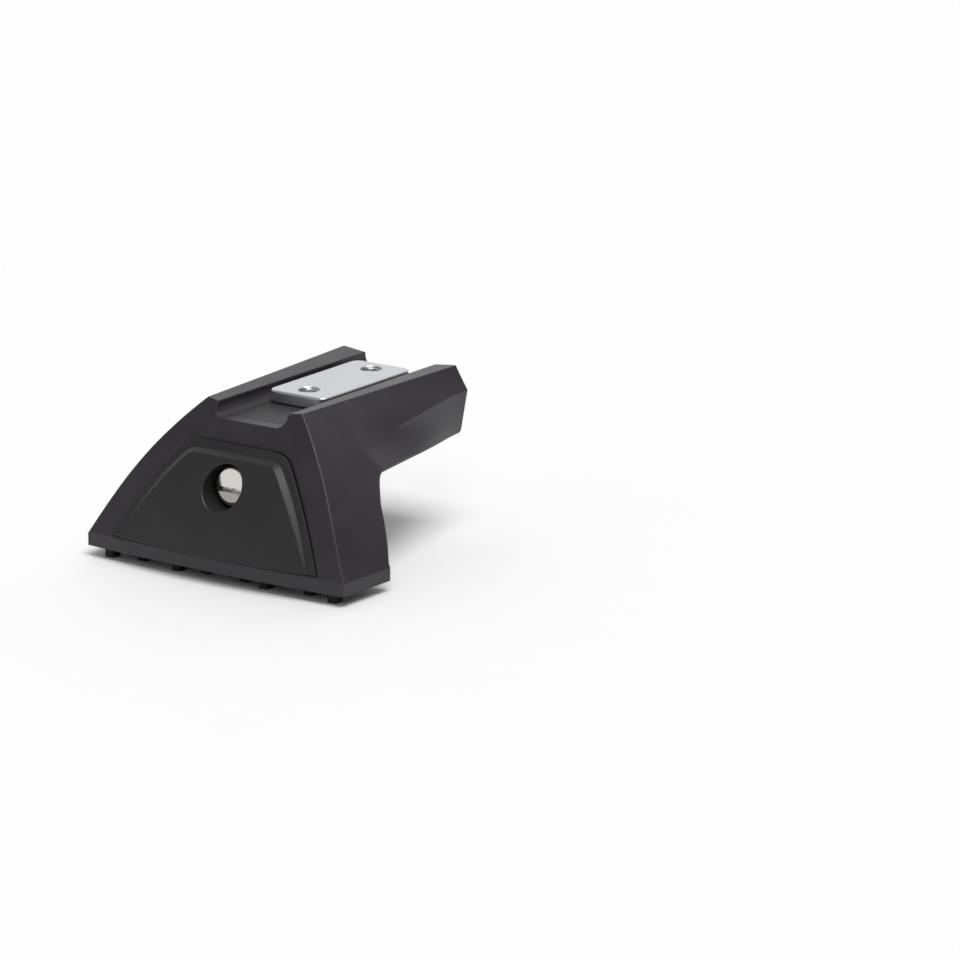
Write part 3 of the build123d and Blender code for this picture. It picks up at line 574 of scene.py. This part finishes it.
# Clamp screw: a knurled head with a hexagon socket, on a threaded shank
def makeScrew(node, body, setup):
    low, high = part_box(node)
    centre = Vector(((low.x + high.x) / 2, (low.y + high.y) / 2, 0))
    headRadius = (high.x - low.x) / 2
    headTop = low.z + setup["headHeight"]
    hexRadius = setup["socketAcross"] / 2 / math.cos(math.pi / setup["socketSides"])
    mesh = bmesh.new()
    profile = (
        (hexRadius + setup["socketMouth"], low.z),
        (headRadius - setup["headChamfer"], low.z),
        (headRadius, low.z + setup["headChamfer"]),
        (headRadius, headTop - setup["shoulderChamfer"]),
        (headRadius - setup["shoulderChamfer"], headTop),
        (setup["neckRadius"], headTop),
        (setup["coreRadius"], headTop + setup["neckRise"]),
        (setup["coreRadius"], high.z - setup["tipChamfer"]),
        (setup["coreRadius"] - setup["tipChamfer"], high.z),
        (0, high.z),
    )
    turnProfile(mesh, profile, centre, setup["steps"])
    mouth = [edge for edge in mesh.edges if edge.is_boundary]
    knurled = []
    for face in mesh.faces:
        middle = face.calc_center_median()
        onSide = (middle - centre).xy.length > headRadius - setup["shoulderChamfer"] / 2
        if onSide and low.z + setup["headChamfer"] < middle.z < headTop - setup["shoulderChamfer"]:
            knurled.append(face)
    bmesh.ops.inset_individual(mesh, faces=knurled, thickness=setup["knurlGap"], depth=-setup["knurlDepth"])
    place = Matrix.Translation((centre.x, centre.y, low.z + setup["socketMouth"]))
    socket = bmesh.ops.create_circle(mesh, segments=setup["socketSides"], radius=hexRadius, matrix=place)
    rim = list({edge for vert in socket["verts"] for edge in vert.link_edges})
    bmesh.ops.bridge_loops(mesh, edges=mouth + rim)
    wall = bmesh.ops.extrude_edge_only(mesh, edges=rim)["geom"]
    deep = [item for item in wall if isinstance(item, bmesh.types.BMVert)]
    bmesh.ops.translate(mesh, verts=deep, vec=(0, 0, setup["socketDepth"] - setup["socketMouth"]))
    bmesh.ops.contextual_create(mesh, geom=[item for item in wall if isinstance(item, bmesh.types.BMEdge)])
    root = setup["coreRadius"] - setup["threadSink"]
    foot = headTop + setup["neckRise"]
    top = high.z - setup["tipChamfer"] / 2
    turnThread(mesh, root, setup["crestRadius"], foot, top, centre, threadSetup)
    name = node.replace("clamp_screw", "threadedScrew")
    piece = finishPiece(name, mesh, body, "zinc_steel", setup["sharpAngle"])
    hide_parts(node)


plateThreadSetup = {
    "rootRadius": 0.00412,
    "crestRadius": 0.00345,
    "clear": 0.0002,  # above the screw's tip
    "mouth": 0.0004,  # below the plate's top
    "sharpAngle": 25.0,
}


# Tapped holes: the turns of thread that show above the screws' tips
def makePlateThreads(setup):
    mesh = bmesh.new()
    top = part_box("clamp_plate")[1].z - setup["mouth"]
    for end in clampEnds:
        low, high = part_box("clamp_screw_" + end)
        centre = Vector(((low.x + high.x) / 2, (low.y + high.y) / 2, 0))
        foot = high.z + setup["clear"]
        turnThread(mesh, setup["rootRadius"], setup["crestRadius"], foot, top, centre, threadSetup)
    finishPiece("plateThreads", mesh, "plate", "zinc_steel", setup["sharpAngle"])


for end in clampEnds:
    makeScrew("clamp_screw_" + end, "screw_" + end, screwSetup)
makePlateThreads(plateThreadSetup)
print("screws and tapped holes made")


# Lower half of the lock plug's face: a polished dish below the keyway
plugDishSetup = {
    "depth": 0.0065,  # of the plug's lower half, behind the cover's face
    "radius": 0.0061,
    "rise": 0.00085,
    "top": -0.0024,  # lower edge of the keyway
    "root": 0.0003,  # how far its foot is sunk into the plug
    "rings": 160,
    "steps": 64,
    "cutDistance": 0.0000001,
    "sharpAngle": 30.0,
}


def makePlugDish(setup):
    mesh = bmesh.new()
    ball = (setup["radius"] ** 2 + setup["rise"] ** 2) / (2 * setup["rise"])
    lifted = Matrix.Translation((0, 0, ball))
    bmesh.ops.create_uvsphere(
        mesh, u_segments=setup["steps"], v_segments=setup["rings"], radius=ball, matrix=lifted
    )
    rimCut = ((0, 0, setup["rise"]), (0, 0, -1))
    topCut = ((0, setup["top"], 0), (0, -1, 0))
    for point, normal in (rimCut, topCut):
        bmesh.ops.bisect_plane(
            mesh,
            geom=mesh.verts[:] + mesh.edges[:] + mesh.faces[:],
            dist=setup["cutDistance"],
            plane_co=point,
            plane_no=normal,
            clear_inner=True,
        )
    rim = [edge for edge in mesh.edges if edge.is_boundary]
    wall = bmesh.ops.extrude_edge_only(mesh, edges=rim)["geom"]
    for item in wall:
        if isinstance(item, bmesh.types.BMVert):
            item.co.z = -setup["root"]
    bmesh.ops.holes_fill(mesh, edges=[edge for edge in mesh.edges if edge.is_boundary], sides=0)
    turn = Matrix.Rotation(math.pi / 2 - lockTilt, 4, "X")
    place = Matrix.Translation(lockPoint - lockAxis * setup["depth"])
    bmesh.ops.transform(mesh, matrix=place @ turn, verts=mesh.verts)
    finishPiece("plugDish", mesh, "lock", "lock_metal", setup["sharpAngle"])


makePlugDish(plugDishSetup)
print("lock dish made")


# Floor: one wide pale sheet, which is also the background
floorSetup = {
    "half": 8.0,
    "cells": 4,
    "plain": {"Specular IOR Level": 0.1},
    "noise": {"Scale": 40.0, "Detail": 3.0},
    "colour": (0.97, 0.97, 0.97),
    "fleck": (0.985, 0.985, 0.985),
    "roughness": (0.7, 0.8),
}


def makeFloor(setup):
    mesh = bmesh.new()
    bmesh.ops.create_grid(mesh, x_segments=setup["cells"], y_segments=setup["cells"], size=setup["half"])
    bmesh.ops.translate(mesh, verts=mesh.verts, vec=(0, 0, cadBox[0].z))
    floor = addObject("floor", meshData("floor", mesh))
    material, tree, shader = startMaterial("paleFloor", setup["plain"])
    coords = addNode(tree, "ShaderNodeTexCoord", (-700, 0))
    noise = setInputs(addNode(tree, "ShaderNodeTexNoise", (-500, 0)), setup["noise"])
    tree.links.new(coords.outputs["Object"], noise.inputs["Vector"])
    colour = addColourMix(tree, noise.outputs["Fac"], setup["colour"], setup["fleck"], (-200, 100))
    rough = addRange(tree, noise.outputs["Fac"], *setup["roughness"], (-200, -100))
    tree.links.new(colour.outputs[mixColour["result"]], shader.inputs["Base Color"])
    tree.links.new(rough.outputs["Result"], shader.inputs["Roughness"])
    floor.data.materials.append(material)


makeFloor(floorSetup)

# Soft studio light: a sky that is brightest low down behind the object, and three broad lamps
skySetup = {"bright": (-0.56, 0.79, 0.27), "low": 0.17, "high": 1.0, "from": 0.32, "to": 1.0}
lampSetup = {
    "key": {"from": (0.30, -0.10, 0.95), "strength": 2.05, "angle": 40.0},
    "fill": {"from": (-0.55, -0.83, 0.12), "strength": 0.26, "angle": 60.0},
    "edge": {"from": (0.48, -0.66, 0.58), "strength": 0.24, "angle": 20.0},
}


def makeSky(setup):
    world = bpy.data.worlds.new("studio")
    world.use_nodes = True
    tree = world.node_tree
    tree.nodes.clear()
    coords = addNode(tree, "ShaderNodeTexCoord", (-800, 0))
    facing = addNode(tree, "ShaderNodeVectorMath", (-600, 0), operation="DOT_PRODUCT")
    facing.inputs[1].default_value = Vector(setup["bright"]).normalized()
    rise = addNode(tree, "ShaderNodeMapRange", (-400, 0), interpolation_type="SMOOTHSTEP")
    setInputs(rise, {"From Min": setup["from"], "From Max": setup["to"]})
    setInputs(rise, {"To Min": setup["low"], "To Max": setup["high"]})
    glow = addNode(tree, "ShaderNodeBackground", (0, 0))
    output = addNode(tree, "ShaderNodeOutputWorld", (250, 0))
    tree.links.new(coords.outputs["Generated"], facing.inputs[0])
    tree.links.new(facing.outputs["Value"], rise.inputs["Value"])
    tree.links.new(rise.outputs["Result"], glow.inputs["Color"])
    tree.links.new(glow.outputs["Background"], output.inputs["Surface"])
    bpy.context.scene.world = world


def makeLamp(name, setup):
    lamp = bpy.data.lights.new(name, "SUN")
    lamp.energy = setup["strength"]
    lamp.angle = math.radians(setup["angle"])
    holder = addObject(name, lamp)
    holder.rotation_mode = "QUATERNION"
    holder.rotation_quaternion = Vector(setup["from"]).to_track_quat("Z", "Y")


makeSky(skySetup)
for name, setup in lampSetup.items():
    makeLamp(name, setup)
print("floor and light made")

# Camera of the photograph, found from the edges of the base, rails and clamp plate
cameraSetup = {
    "azimuth": 35.41,
    "elevation": 15.40,
    "distance": 2.083,
    "aim": (0.0, 0.029, 0.030),
    "offsetRight": 0.07234,
    "offsetUp": -0.00506,
    "lens": 208.34,
    "sensor": 36.0,
    "clip": (0.05, 60.0),
}


def makeCamera(setup):
    turn = math.radians(setup["azimuth"])
    tilt = math.radians(setup["elevation"])
    right = Vector((math.cos(turn), math.sin(turn), 0))
    back = Vector((math.sin(turn) * math.cos(tilt), -math.cos(turn) * math.cos(tilt), math.sin(tilt)))
    up = back.cross(right)
    eye = Vector(setup["aim"]) + back * setup["distance"]
    eye += right * setup["offsetRight"] + up * setup["offsetUp"]
    data = bpy.data.cameras.new("camera")
    data.sensor_fit = "HORIZONTAL"
    data.sensor_width = setup["sensor"]
    data.lens = setup["lens"]
    data.clip_start, data.clip_end = setup["clip"]
    camera = addObject("camera", data)
    axes = Matrix((right, up, back)).transposed().to_4x4()
    camera.matrix_world = Matrix.Translation(eye) @ axes
    bpy.context.scene.camera = camera


makeCamera(cameraSetup)
bpy.context.scene.view_settings.view_transform = "Standard"
print("camera placed")
